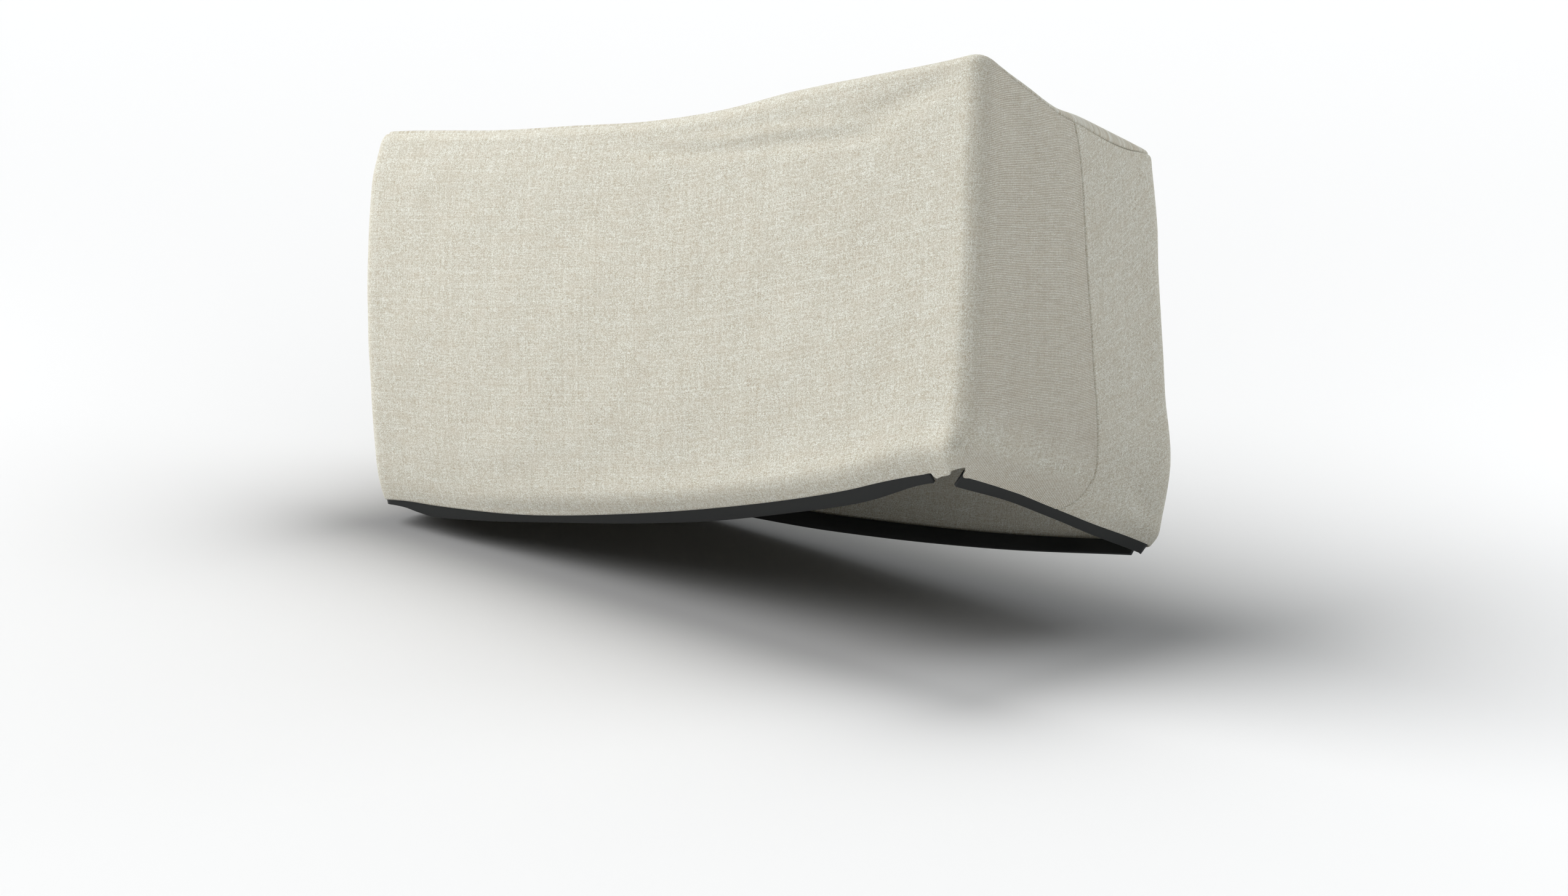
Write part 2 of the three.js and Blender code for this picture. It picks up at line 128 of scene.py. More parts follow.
# The tucked hem round the outline: how far it is tucked in degrees, how tall the tuck is, how far
# the cloth and the strip hang below the hem line
HEM = table(
    "at tuck tall hang strip",
    (0, 16, 28, 8, 22),
    (along_left(0), 12, 26, 8, 22),
    (LEFT_END, 6, 16, 3, 14),
    (along_front(-585), 5, 16, 0, 8),
    (along_front(-540), 5, 16, -1, 10),
    (along_front(-505), 6, 16, 0, 17),
    (along_front(-470), 7, 17, 2, 22),
    (along_front(-400), 10, 20, 4, 22),
    (along_front(-235), 18, 28, 8, 21),
    (along_front(-40), 26, 34, 4, 22),
    (along_front(110), 31, 38, 0, 22),
    (along_front(250), 34, 40, 0, 22),
    (along_front(420), 36, 43, -1, 22),
    (along_front(520), 38, 45, 3, 18.5),
    (RIGHT_START, 40, 46, 1, 25),
    (along_right(-60), 34, 40, 2, 19.3),
    (along_right(50), 16, 28, 6, 22),
    (along_right(130), 28, 26, 4, 22),
    (BACK_START, 28, 28, 4, 22),
    (along_back(0), 20, 30, 8, 22),
    (ROUND, 16, 28, 8, 22),
)
HEM_STRAIGHT = 0.25     # share of the tuck's height that is straight, at the hem

# Lower edge of the cloth at the lifted corner
CORNER_HEM = table(
    "at edge",
    (RIGHT_START - 94, -3), (RIGHT_START - 79, -3), (RIGHT_START - 76, -10), (RIGHT_START - 64, -8),
    (RIGHT_START - 50, -6), (RIGHT_START - 38, -1), (RIGHT_START - 22, 3), (RIGHT_START - 2, 8.5),
    (RIGHT_START + 3, 8.5), (RIGHT_START + 7, -4.5), (RIGHT_START + 18, -4), (RIGHT_START + 50, -3),
    (RIGHT_START + 100, -2),
)
# Start and end of each strip round the outline, and its reach above the hem line
STRIPS = {
    "front_strip": (FRONT_START - ARC / 2, along_front(528), 4),
    "right_strip": (RIGHT_START + 7, RIGHT_END + 17, 2),
    "back_strip": (BACK_START + 12, BACK_END - 8, 4),
    "left_strip": (8, LEFT_END - 14, 4),
}

# Seam of the top round the outline: its place on the rounded top edge, in degrees up from the wall
TOP_SEAM = table(
    "at turn",
    (0, 45), (LEFT_END, 50), (FRONT_START, 58), (FRONT_END, 58), (RIGHT_START, 40),
    (along_right(-130), 24), (along_right(-60), 22), (along_right(-20), 16), (along_right(12), 2),
    (along_right(50), -9), (along_right(90), -9), (along_right(125), 2), (RIGHT_END, 30),
    (BACK_START, 40), (along_back(400), 45), (ROUND, 45),
)

# How far the middle of each side stands out
FULL_LEFT, FULL_FRONT, FULL_RIGHT, FULL_BACK = 6, 3, 8, 8
# Main folds of the walls: centre, half length, half width, slope in degrees and rise. The crease
# under the front top edge is in more parts here than in the solids, and a little lower.
FOLDS = table(
    "at up run wide slope rise",
    (along_front(60), 517, 180, 10, -8, -2.4),
    (along_front(290), 494, 200, 11, -5, -3.3),
    (along_front(210), 520, 250, 9, -5, 2.7),
    (along_front(190), 548, 290, 14, -3, 2.5),
    (along_front(470), 520, 130, 20, 14, -4),
    (along_right(-110), 490, 110, 26, -38, -4),
    (along_back(-260), 130, 330, 45, 2, 14),
    (along_back(-220), 400, 320, 50, -4, 10),
    (along_left(10), 150, 150, 45, -6, 9),
)
# Folds of the top: centre, half length, half width, turn in degrees and rise
TOP_FOLDS = table(
    "x y run wide turn rise",
    (560, 95, 100, 26, 90, 7),
    (230, 20, 260, 60, 24, -7),
)

# Smaller folds, which only this model has
FINE_FOLDS = table(
    "at up run wide slope rise",
    (along_front(440), 526, 110, 7, 9, -1.5),
    (along_front(-380), 470, 160, 30, 6, -1.5),
    (along_front(-300), 90, 200, 30, 3, 1.5),
    (RIGHT_START - 20, 44, 16, 6, 70, -4.0),
    (along_right(-40), 430, 120, 22, -30, 1.5),
    (along_right(100), 380, 80, 30, 70, -2.0),
    (along_right(120), 60, 60, 12, -30, -2.0),
    (along_back(200), 240, 260, 30, 5, 4.0),
    (along_back(-420), 300, 120, 24, 60, 3.0),
    (along_back(430), 140, 140, 22, -20, -4.0),
)
# Gentle unevenness of the walls: length of a wave, its turn in degrees, its phase and its rise
WAVES = table(
    "length turn phase rise",
    (310, 20, 0.4, 0.55), (190, 100, 1.9, 0.4), (127, -35, 3.1, 0.3), (83, 62, 4.4, 0.18),
    (61, 8, 5.2, 0.12),
)
WAVE_FADE = 60      # the waves fade out over this length at the hem and at the top

# Form of the cloth by its seams, with a lip beside them, and along its hem
SEAM_DEEP = 1.7
SEAM_WIDE = 1.3
LIP_RISE = 0.7
LIP_AT = 4.2
LIP_WIDE = 2.6
TOP_LIP = 0.6       # share of the lip along the seam of the top
HEM_ROUND = 1.1
HEM_ROUND_WIDE = 0.9


def share_of(value, start, end):
    """How far a value has come from a start to an end, from 0 to 1."""
    return np.clip((value - start) / (end - start), 0, 1)


def bell(ratio):
    return np.exp(-(ratio ** 2))


def turned(along, up, degrees):
    """Two lengths in axes that are turned by an angle."""
    cos, sin = math.cos(math.radians(degrees)), math.sin(math.radians(degrees))
    return along * cos + up * sin, up * cos - along * sin


def read(rows, key, column, place):
    """Smooth curve through one column of a table, read at places in its key column."""
    keys, values = rows[key], rows[column]
    last = len(keys) - 1
    before = np.maximum(np.arange(last + 1) - 1, 0)
    after = np.minimum(np.arange(last + 1) + 1, last)
    slopes = (values[after] - values[before]) / (keys[after] - keys[before])
    t = np.clip(place, keys[0], keys[-1])
    i = np.searchsorted(keys[1:-1], t, side="left")
    step = keys[i + 1] - keys[i]
    q = (t - keys[i]) / step
    ease = q * q * (3 - 2 * q)
    leave = slopes[i] * step * q * (1 - q) ** 2
    arrive = slopes[i + 1] * step * q * q * (1 - q)
    return values[i] * (1 - ease) + values[i + 1] * ease + leave - arrive


def once_round(s):
    return np.where(s > ROUND, s - ROUND, s)


def outline(s):
    """Point and outward direction on the rounded rectangle that the cover is in plan."""
    place = once_round(np.asarray(s, float))
    corners = (
        (-INNER_X, -INNER_Y, math.pi, place - LEFT_END),
        (INNER_X, -INNER_Y, -math.pi / 2, place - FRONT_END),
        (INNER_X, INNER_Y, 0, place - RIGHT_END),
        (-INNER_X, INNER_Y, math.pi / 2, place - BACK_END),
    )
    zero = np.zeros_like(place)
    x, y, nx, ny = zero - HALF_X, INNER_Y - place, zero - 1, zero
    straights = (
        (FRONT_START, place - FRONT_START - INNER_X, zero - HALF_Y, zero, zero - 1),
        (RIGHT_START, zero + HALF_X, place - RIGHT_START - INNER_Y, zero + 1, zero),
        (BACK_START, INNER_X - (place - BACK_START), zero + HALF_Y, zero, zero + 1),
    )
    for start, *values in straights:
        found = zip(values, (x, y, nx, ny))
        x, y, nx, ny = (np.where(place >= start, new, old) for new, old in found)
    for cx, cy, angle, run in corners:
        inside = (run > 0) & (run < ARC - 1e-6)
        turn = angle + run / CORNER
        values = (cx + CORNER * np.cos(turn), cy + CORNER * np.sin(turn), np.cos(turn), np.sin(turn))
        found = zip(values, (x, y, nx, ny))
        x, y, nx, ny = (np.where(inside, new, old) for new, old in found)
    return x, y, nx, ny


def section(s, up):
    """How far in and how high the wall's cloth lies, a length up from the hem line."""
    place = once_round(s)
    tall = read(HEM, "at", "tall", place)
    tuck = np.radians(read(HEM, "at", "tuck", place))
    straight = tall * HEM_STRAIGHT
    bend = (tall - straight) / tuck
    angle = np.minimum((tall - up) / bend, tuck)
    rest = np.maximum(straight - up, 0)
    inward = bend * (1 - np.cos(angle)) + rest * np.sin(tuck)
    z = tall - bend * np.sin(angle) - rest * np.cos(tuck)
    above = up >= tall
    inward, z = np.where(above, 0, inward), np.where(above, up, z)
    roll = (up - ROLL_START) / EDGE
    rolled = up > ROLL_START
    inward = np.where(rolled, EDGE * (1 - np.cos(roll)), inward)
    return inward, np.where(rolled, ROLL_START + EDGE * np.sin(roll), z)


def fold_rise(run, wide, rise, along, across):
    ridge = np.cos(along / run * math.pi / 2) ** 2 * bell(across / wide)
    return np.where(np.abs(along) < run, rise * ridge, 0)


def add_folds(folds, along, up):
    """Rise of all the folds of a table at a place, given as in the table's first two columns."""
    out = 0
    for at, high, run, wide, turn, rise in zip(*folds.values()):
        out = out + fold_rise(run, wide, rise, *turned(along - at, up - high, turn))
    return out


def swell(place, start, end, amount):
    return amount * np.sin(math.pi * share_of(place, start, end)) ** 2


def relief(s, up):
    """Outward relief of the walls: fullness, main folds, smaller folds and unevenness."""
    place = once_round(s)
    fullness = (swell(place, 0, LEFT_END, FULL_LEFT)
                + swell(place, FRONT_START, FRONT_END, FULL_FRONT)
                + swell(place, RIGHT_START, RIGHT_END, FULL_RIGHT)
                + swell(place, BACK_START, BACK_END, FULL_BACK))
    out = fullness * np.sin(math.pi * share_of(up, 0, WALL))
    out = out + add_folds(FOLDS, place, up) + add_folds(FINE_FOLDS, place, up)
    fade = share_of(up, ROLL_START, ROLL_START - WAVE_FADE) * share_of(up, 0, WAVE_FADE)
    for length, turn, phase, rise in zip(*WAVES.values()):
        along, _ = turned(place, up, turn)
        out = out + fade * rise * np.sin(along * 2 * math.pi / length + phase)
    return out


def settle(x, y, z):
    """Sets points of the upright, level cover where the lifted, leaning cover has them."""
    right = share_of(x, -HALF_X, HALF_X)
    back = share_of(y, -HALF_Y, HALF_Y)
    share = share_of(z, 0, WALL)
    end = share_of(x, HALF_X - END_REACH, HALF_X)
    lean = (right * (1 - back) * read(LEAN, "z", "near", z)
            + right * back * read(LEAN, "z", "far", z)
            + (1 - right) * (1 - back) * read(LEAN, "z", "left", z))
    hem = (1 - back) * read(FRONT_EDGE, "x", "hem", x) + back * read(BACK_EDGE, "x", "hem", x)
    top = (1 - back) * read(FRONT_EDGE, "x", "top", x) + back * read(BACK_EDGE, "x", "top", x)
    sag = end * end * read(END_EDGE, "y", "sag", y)
    drawn = end * end * read(END_EDGE, "y", "drawn", y)
    height = z + hem + share ** 1.5 * top - share * share * sag + (1 - share) ** 2 * drawn
    return np.stack([x + lean * LEAN_X, y + lean * LEAN_Y, height], axis=-1)


def wall_point(s, up):
    x, y, nx, ny = outline(s)
    inward, z = section(s, up)
    inward = inward - relief(s, up)
    return settle(x - nx * inward, y - ny * inward, z)


def top_point(x, y):
    return settle(x, y, WALL + add_folds(TOP_FOLDS, x, y))


def outward(face, a, b):
    """Outward direction of a face, from its function of two lengths."""
    step = 0.5
    first = face(a + step, b) - face(a - step, b)
    second = face(a, b + step) - face(a, b - step)
    out = np.cross(first, second)
    return out / np.linalg.norm(out, axis=-1, keepdims=True)


def wing_seam(up):
    return read(WING_SEAM, "up", "y", up)


def top_seam(s):
    return ROLL_START + EDGE * np.radians(read(TOP_SEAM, "at", "turn", once_round(s)))


def hem_edge(s):
    place = once_round(s)
    at_corner = (place > CORNER_HEM["at"][0]) & (place < CORNER_HEM["at"][-1])
    return np.where(at_corner, read(CORNER_HEM, "at", "edge", place), -read(HEM, "at", "hang", place))


# The origin of the frame is the inner side of the top at its middle
MIDDLE = np.array(0.0)
ORIGIN = top_point(MIDDLE, MIDDLE) - CLOTH * outward(top_point, MIDDLE, MIDDLE)


def place_object(name, data):
    piece = bpy.data.objects.new(name, data)
    bpy.context.scene.collection.objects.link(piece)
    return piece


def smooth_mesh(name, points, faces):
    """A smoothly shaded mesh from points in millimetres."""
    mesh = bpy.data.meshes.new(name)
    mesh.from_pydata(((points - ORIGIN) / PER_METRE).tolist(), [], faces)
    mesh.polygons.foreach_set("use_smooth", [True] * len(mesh.polygons))
    mesh.update()
    return mesh


def open_edges(faces, count):
    """Edges of the quads that only one of them has, as pairs of points."""
    ends = np.concatenate([faces[:, [k, (k + 1) % 4]] for k in range(4)])
    ends = ends[ends[:, 0] != ends[:, 1]]
    forward = ends[:, 0].astype(np.int64) * count + ends[:, 1]
    backward = ends[:, 1].astype(np.int64) * count + ends[:, 0]
    return ends[~np.isin(forward, backward)]


def sheet_piece(name, outer, inner, faces, threads, rib_shade_and_highlight):
    """A closed sheet from its outer and inner points, with a rim round its open edges. Its UV map
    gives the run of the threads in metres, and the rib shading how strongly painted shade and painted
    highlight show the rows of yarn."""
    count = len(outer)
    faces = np.asarray(faces)
    edge = open_edges(faces, count)
    rim = np.stack([edge[:, 0], edge[:, 0] + count, edge[:, 1] + count, edge[:, 1]], axis=1)
    quads = np.concatenate([faces, faces[:, ::-1] + count, rim])
    loops = [[v for k, v in enumerate(q) if v != q[k - 1]] for q in quads.tolist()]
    mesh = smooth_mesh(name, np.concatenate([outer, inner]), loops)
    corner = np.zeros(len(mesh.loops), np.int64)
    mesh.loops.foreach_get("vertex_index", corner)
    run = np.concatenate([threads, threads])[corner] / PER_METRE
    uv = mesh.uv_layers.new(name="threads")
    uv.data.foreach_set("uv", run.astype(np.float32).ravel())
    # Painted shade and painted highlight of the rows of yarn, set per point
    rib_shade_layer = mesh.attributes.new("rib_shade_and_highlight", "FLOAT", "POINT")
    rib_shade_layer.data.foreach_set("value", np.concatenate([rib_shade_and_highlight, rib_shade_and_highlight]).astype(np.float32))
    mesh.validate()
    mesh.update()
    return place_object(name, mesh)


def grid_faces(columns, rows):
    i, j = np.meshgrid(np.arange(columns - 1), np.arange(rows - 1), indexing="ij")
    a = (i * rows + j).ravel()
    return np.stack([a, a + rows, a + rows + 1, a + 1], axis=1)


def flat(grid):
    """A grid of points as one list."""
    return grid.reshape(-1, grid.shape[-1])


# Distances from a seam of the columns beside it
NEAR_SEAM = np.array([0, 0.45, 0.9, 1.4, 2.0, 2.8, 3.8, 5.0, 6.6, 9.0, 12.0])


def even(start, end, pitch):
    """Even steps of about a pitch from one length to another, without the first."""
    steps = max(1, round(abs(end - start) / pitch))
    return start + (end - start) * np.arange(1, steps + 1) / steps


def right_seam(side):
    """Edge of the cloth at the right wing seam: side is -1 for the front's and 1 for the back's."""
    def seam(up):
        return along_right(wing_seam(up)) + side * SEAM_GAP / 2
    return seam


def left_seam(side, further=0):
    """The same at the left wing seam, 1 for the front's and -1 for the back's."""
    def seam(up):
        return along_left(wing_seam(up)) + side * SEAM_GAP / 2 + further
    return seam


def upright(length):
    """A column at one length round the outline."""
    def column(up):
        return length + 0 * up
    return column


def seam_column(seam, distance, end, share):
    """A column at a distance from a seam, blended by a share into an upright one at its end."""
    def column(up):
        return (seam(up) + distance) * (1 - share) + end * share
    return column


def seam_side(seam, end, pitch):
    """Columns that start at a seam, close together there, and end at a fixed length round."""
    way = 1 if end > seam(0.0) else -1
    reach = NEAR_SEAM[-1] * way
    steps = max(1, round(abs(end - seam(0.0) - reach) / pitch))
    near = [seam_column(seam, distance * way, end, 0) for distance in NEAR_SEAM]
    far = [seam_column(seam, reach, end, k / steps) for k in range(1, steps + 1)]
    return near + far


def upright_columns(start, spans):
    """Upright columns over spans, each an end and a pitch, without the first and the last one."""
    lengths = []
    for end, pitch in spans:
        lengths.extend(even(start, end, pitch))
        start = end
    return [upright(length) for length in lengths[:-1]]


def seam_fall(distance):
    """How far the outer face dips into a seam, at a distance from it."""
    return -SEAM_DEEP * bell(distance / SEAM_WIDE)


def lip(distance):
    return LIP_RISE * bell((distance - LIP_AT) / LIP_WIDE)


# Rows of a wall panel: shares of the tucked hem, even rows up the wall, shares of the rounded edge
HEM_TOP = 48
HEM_SHARES = np.concatenate([[0, 0.006, 0.016, 0.034, 0.06], np.linspace(0.1, 1, 17)])
WALL_TOP = ROLL_START - 14
ROLL_LOW = ROLL_START - 10
ROLL_SHARES = np.concatenate([
    np.linspace(0, 0.55, 6), [0.7, 0.8, 0.87, 0.915, 0.945, 0.965, 0.985, 1],
])


def wall_rows(column, pitch):
    """Lengths up the cloth of the points in one column, from its hem edge to the top seam."""
    low = hem_edge(column(np.array(0.0)))
    high = top_seam(column(np.array(ROLL_END))) - SEAM_GAP / 2
    hem = low + (HEM_TOP - low) * HEM_SHARES
    roll = ROLL_LOW + (high - ROLL_LOW) * ROLL_SHARES
    return np.concatenate([hem, even(HEM_TOP, WALL_TOP, pitch), roll])


def wall_panel(name, columns, pitch, seams, lipped, grain):
    """A wall panel over its columns, with its hem edge, its seams and the run of its threads."""
    up = np.array([wall_rows(column, pitch) for column in columns])
    s = np.array([column(rows) for column, rows in zip(columns, up)])
    out = outward(wall_point, s, up)
    base = wall_point(s, up)
    rise = np.zeros_like(s)
    for seam in seams:
        gap = np.abs(s - seam(up))
        rise += seam_fall(gap) + (lip(gap) if lipped else 0)
    below_top = top_seam(s) - SEAM_GAP / 2 - up
    rise += seam_fall(below_top) + lip(below_top) * TOP_LIP
    rise -= HEM_ROUND * bell((up - hem_edge(s)) / HEM_ROUND_WIDE)
    outer = base + out * rise[..., None]
    inner = base - out * CLOTH
    threads, rib_shade_and_highlight = grain(s, up)
    return sheet_piece(name, flat(outer), flat(inner), grid_faces(*s.shape),
                       flat(threads), rib_shade_and_highlight.ravel())


# How far the rows of yarn climb across the lifted end: their slope there, and the part of it
# that grows up the cloth
ROW_CLIMB = table(
    "y climb bend",
    (-200, 0, 0), (-170, 0.2, 0), (-140, 0.4, 0), (-40, 0.4, 0), (0, 0.4, 0.1), (30, 0.4, 0.4),
    (60, 0.4, 0.6), (200, 0.4, 0.6),
)
BEND_LOW, BEND_HIGH = 0.35, 1.0     # share of the bend at the hem and at the top


def climbed(column, y):
    """Climb of a row from the near side of the end to a place across it."""
    reach = ROW_CLIMB["y"][-1]
    places = np.linspace(-reach, reach, 401)
    steps = read(ROW_CLIMB, "y", column, (places[1:] + places[:-1]) / 2)
    return np.interp(y, places, np.concatenate([[0], np.cumsum(steps)]))


def threads_at(s, up):
    """Run of the threads on the walls: level with the hem on the long sides, climbing on the end."""
    y = once_round(s) - RIGHT_START - INNER_Y
    bend = BEND_LOW + (BEND_HIGH - BEND_LOW) * up / WALL
    return np.stack([s, up - climbed("climb", y) - climbed("bend", y) * bend], axis=-1)


FAINT_RIB_SHADE = 0.15   # share of the painted rib shade and highlight on the back and the top


def front_grain(s, up):
    """Threads of the front cloth, and its rib shading: above zero the rows of yarn on the end, which
    set in over 25 mm from the corner, get painted shade in their gaps and a painted highlight on their
    crowns, and below zero the columns of yarn in the tucked hem there get the same."""
    y = s - RIGHT_START - INNER_Y
    on_end = share_of(y, -HALF_Y, -HALF_Y + 25)
    above_hem = share_of(up, 50, 100)
    in_hem = share_of(up, 52, 34) * share_of(y, 70, 10)
    return threads_at(s, up), on_end * (above_hem - in_hem)


def back_grain(s, up):
    return threads_at(s, up), np.zeros_like(s) + FAINT_RIB_SHADE


# Spans between the wings: their ends, and the pitch of the columns
WING_START = RIGHT_START + 20
FRONT_SPANS = (
    (FRONT_START, 4), (FRONT_END - 36, 6), (FRONT_END, 1.5), (RIGHT_START, 3), (WING_START, 1),
)
BACK_SPANS = ((BACK_START, 5), (BACK_END, 9), (ROUND, 6))

front_columns = (
    seam_side(left_seam(1), LEFT_END, 6)
    + upright_columns(LEFT_END, FRONT_SPANS)
    + seam_side(right_seam(-1), WING_START, 5)[::-1]
)
back_columns = (
    seam_side(right_seam(1), RIGHT_END, 6)
    + upright_columns(RIGHT_END, BACK_SPANS)
    + seam_side(left_seam(-1, ROUND), ROUND, 8)[::-1]
)
front_seams = (right_seam(-1), left_seam(1))
back_seams = (right_seam(1), left_seam(-1, ROUND))
front_panel = wall_panel("front_cloth", front_columns, pitch=5.5, seams=front_seams, lipped=True,
                         grain=front_grain)
back_panel = wall_panel("back_cloth", back_columns, pitch=8, seams=back_seams, lipped=False,
                        grain=back_grain)

TOP_PITCH = 6
TOP_INSET = 1       # the grid ends this far inside the rounded edge
CORNER_STEPS = 12
RING_SHARES = np.array([0, 0.02, 0.045, 0.08, 0.13, 0.2, 0.3, 0.42, 0.56, 0.7, 0.85, 1])


def grid_places(half):
    start = -half + TOP_INSET
    return np.concatenate([[start], even(start, half - TOP_INSET, TOP_PITCH)])


def nearest(values, places):
    """Index of the value that is nearest to each place."""
    held = np.clip(places, values[0], values[-1])
    return np.abs(held[:, None] - values[None]).argmin(1)


def top_panel(name):
    """The top: rings up from its seam, then a grid over the middle that the last ring joins."""
    xs, ys = grid_places(INNER_X), grid_places(INNER_Y)
    corner = (np.arange(1, CORNER_STEPS) / CORNER_STEPS) * ARC
    lengths = np.concatenate([
        along_left(ys[::-1]), LEFT_END + corner,
        along_front(xs), FRONT_END + corner,
        along_right(ys), RIGHT_END + corner,
        along_back(xs[::-1]), BACK_END + corner,
    ])
    around = len(lengths)
    low = top_seam(lengths) + SEAM_GAP / 2
    up = low[None] + (ROLL_END - low)[None] * RING_SHARES[:, None]
    s = np.broadcast_to(lengths, up.shape)
    ring = wall_point(s, up)
    ring_out = outward(wall_point, s, up)
    gap = up - low[None]
    ring_top = ring + ring_out * (seam_fall(gap) + TOP_LIP * lip(gap))[..., None]
    gx, gy = np.meshgrid(xs, ys, indexing="ij")
    grid = top_point(gx, gy)
    grid_out = outward(top_point, gx, gy)
    outer = np.concatenate([flat(ring_top), flat(grid)])
    inner = np.concatenate([flat(ring - ring_out * CLOTH), flat(grid - grid_out * CLOTH)])
    first = len(RING_SHARES) * around
    faces = (grid_faces(len(xs), len(ys)) + first).tolist()
    edge_x, edge_y, _, _ = outline(lengths)
    grid_edge = first + nearest(xs, edge_x) * len(ys) + nearest(ys, edge_y)
    for r in range(len(RING_SHARES)):
        this = r * around + np.arange(around)
        above = this + around if r < len(RING_SHARES) - 1 else grid_edge
        faces += np.stack([this, np.roll(this, -1), np.roll(above, -1), above], axis=1).tolist()
    level_x = np.concatenate([np.broadcast_to(edge_x, up.shape).ravel(), gx.ravel()])
    level_y = np.concatenate([np.broadcast_to(edge_y, up.shape).ravel(), gy.ravel()])
    threads = np.stack([level_x, level_y], axis=-1)
    return sheet_piece(name, outer, inner, faces, threads, np.zeros(len(outer)) + FAINT_RIB_SHADE)


top_piece = top_panel("top_cloth")

STRIP_PITCH = 5
STRIP_RADIUS = 1.1
STRIP_ARC = np.radians([0, 30, 60, 90])
# Rounding of a strip's ends: lengths from the end, and how far the section draws in there
STRIP_END = np.array([0, 0.35, 1.0])
STRIP_SHRINK = np.array([0.9, 0.3, 0])
# Corners of a strip's section: at its upper edge or not, at its inner side or not, and the angle
# in degrees at which the corner's rounding starts
STRIP_CORNERS = table(
    "upper inner angle",
    (0, 1, 180), (1, 1, 90), (1, 0, 0), (0, 0, 270),
)


def strip_section(lengths, shrink, reach):
    """Rows of points along a strip, one for each point round its section."""
    low = -read(HEM, "at", "strip", once_round(lengths))
    rows = []
    for upper, inner, start_angle in zip(*STRIP_CORNERS.values()):
        edge = reach - shrink if upper else low + shrink
        side = STRIP_THICK - shrink if inner else shrink
        for angle in math.radians(start_angle) - STRIP_ARC:
            up = edge + STRIP_RADIUS * (math.cos(angle) + (-1 if upper else 1))
            depth = side + STRIP_RADIUS * (math.sin(angle) + (-1 if inner else 1))
            out = outward(wall_point, lengths, up)
            rows.append(wall_point(lengths, up) - out * (STRIP_INSET + depth)[..., None])
    return np.stack(rows, axis=1)


def strip_piece(name, start, end, reach):
    """A stiff strip with rounded edges and ends."""
    middle = even(start + STRIP_END[-1], end - STRIP_END[-1], STRIP_PITCH)[:-1]
    lengths = np.concatenate([start + STRIP_END, middle, end - STRIP_END[::-1]])
    shrink = np.concatenate([STRIP_SHRINK, np.zeros(len(middle)), STRIP_SHRINK[::-1]])
    grid = strip_section(lengths, shrink, reach)
    count, around = grid.shape[:2]
    faces = []
    for i in range(count - 1):
        for k in range(around):
            a = i * around + k
            b = i * around + (k + 1) % around
            faces.append([a, b, b + around, a + around])
    faces.append(list(range(around))[::-1])
    faces.append([(count - 1) * around + k for k in range(around)])
    return place_object(name, smooth_mesh(name, flat(grid), faces))


strip_pieces = {node: strip_piece(node + "_moulding", *row) for node, row in STRIPS.items()}


class Nodes:
    """Short way to add and join shader nodes."""

    def __init__(self, name):
        self.material = bpy.data.materials.new(name)
        self.material.use_nodes = True
        self.tree = self.material.node_tree
        self.shader = self.tree.nodes["Principled BSDF"]

    def add(self, kind, inputs, **settings):
        node = self.tree.nodes.new(kind)
        for key, value in settings.items():
            setattr(node, key, value)
        for key, value in inputs.items():
            self.put(node.inputs[key], value)
        return node

    def put(self, socket, value):
        if isinstance(value, bpy.types.NodeSocket):
            self.tree.links.new(value, socket)
        else:
            socket.default_value = value

    def shade(self, **values):
        """Sets the shader's own inputs. An underscore in a name stands for a space."""
        for name, value in values.items():
            self.put(self.shader.inputs[name.replace("_", " ")], value)

    def math(self, operation, *values):
        node = self.add("ShaderNodeMath", dict(enumerate(values)), operation=operation)
        return node.outputs[0]

    def plus(self, first, second):
        return self.math("ADD", first, second)

    def minus(self, first, second):
        return self.math("SUBTRACT", first, second)

    def times(self, first, second):
        return self.math("MULTIPLY", first, second)

    def either(self, choice, first, second):
        """The first where the choice is 1, and the second where it is 0."""
        return self.plus(self.times(choice, first), self.times(self.minus(1.0, choice), second))

    def mix(self, factor, first, second):
        node = self.add("ShaderNodeMix", {}, data_type="RGBA")
        self.put(node.inputs["Factor"], factor)
        self.put(node.inputs[6], first)
        self.put(node.inputs[7], second)
        return node.outputs[2]

    def between(self, value, low, high, to_low=0.0, to_high=1.0):
        span = {"Value": value, "From Min": low, "From Max": high, "To Min": to_low, "To Max": to_high}
        return self.add("ShaderNodeMapRange", span).outputs[0]

    def vector(self, *parts):
        return self.add("ShaderNodeCombineXYZ", dict(enumerate(parts))).outputs[0]

    def vector_math(self, operation, inputs):
        return self.add("ShaderNodeVectorMath", inputs, operation=operation).outputs[0]

    def noise(self, vector, scale, detail, output="Fac"):
        inputs = {"Vector": vector, "Scale": scale, "Detail": detail}
        return self.add("ShaderNodeTexNoise", inputs).outputs[output]

    def ramp(self, factor, tones):
        """A colour ramp over rows of place and colour, the first at 0 and the last at 1."""
        node = self.add("ShaderNodeValToRGB", {"Fac": factor})
        stops = node.color_ramp.elements
        stops[0].color = tones[0][1]
        stops[1].color = tones[-1][1]
        for place, colour in tones[1:-1]:
            stop = stops.new(place)
            stop.color = colour
        return node.outputs[0]

    def bump(self, height, distance, strength):
        inputs = {"Height": height, "Distance": distance, "Strength": strength}
        self.shade(Normal=self.add("ShaderNodeBump", inputs).outputs[0])


YARN = 0.0012       # metres from one yarn to the next
WOBBLE = 0.0015     # metres by which the yarns wander
# Tones of the yarns, from dark to light
YARN_TONES = (
    (0.0, (0.40, 0.335, 0.245, 1)),
    (0.3, (0.515, 0.48, 0.385, 1)),
    (0.55, (0.595, 0.58, 0.50, 1)),
    (0.8, (0.68, 0.675, 0.605, 1)),
    (1.0, (0.79, 0.795, 0.735, 1)),
)
SANDY = (0.56, 0.50, 0.40, 1)
SLUB = (0.79, 0.795, 0.725, 1)
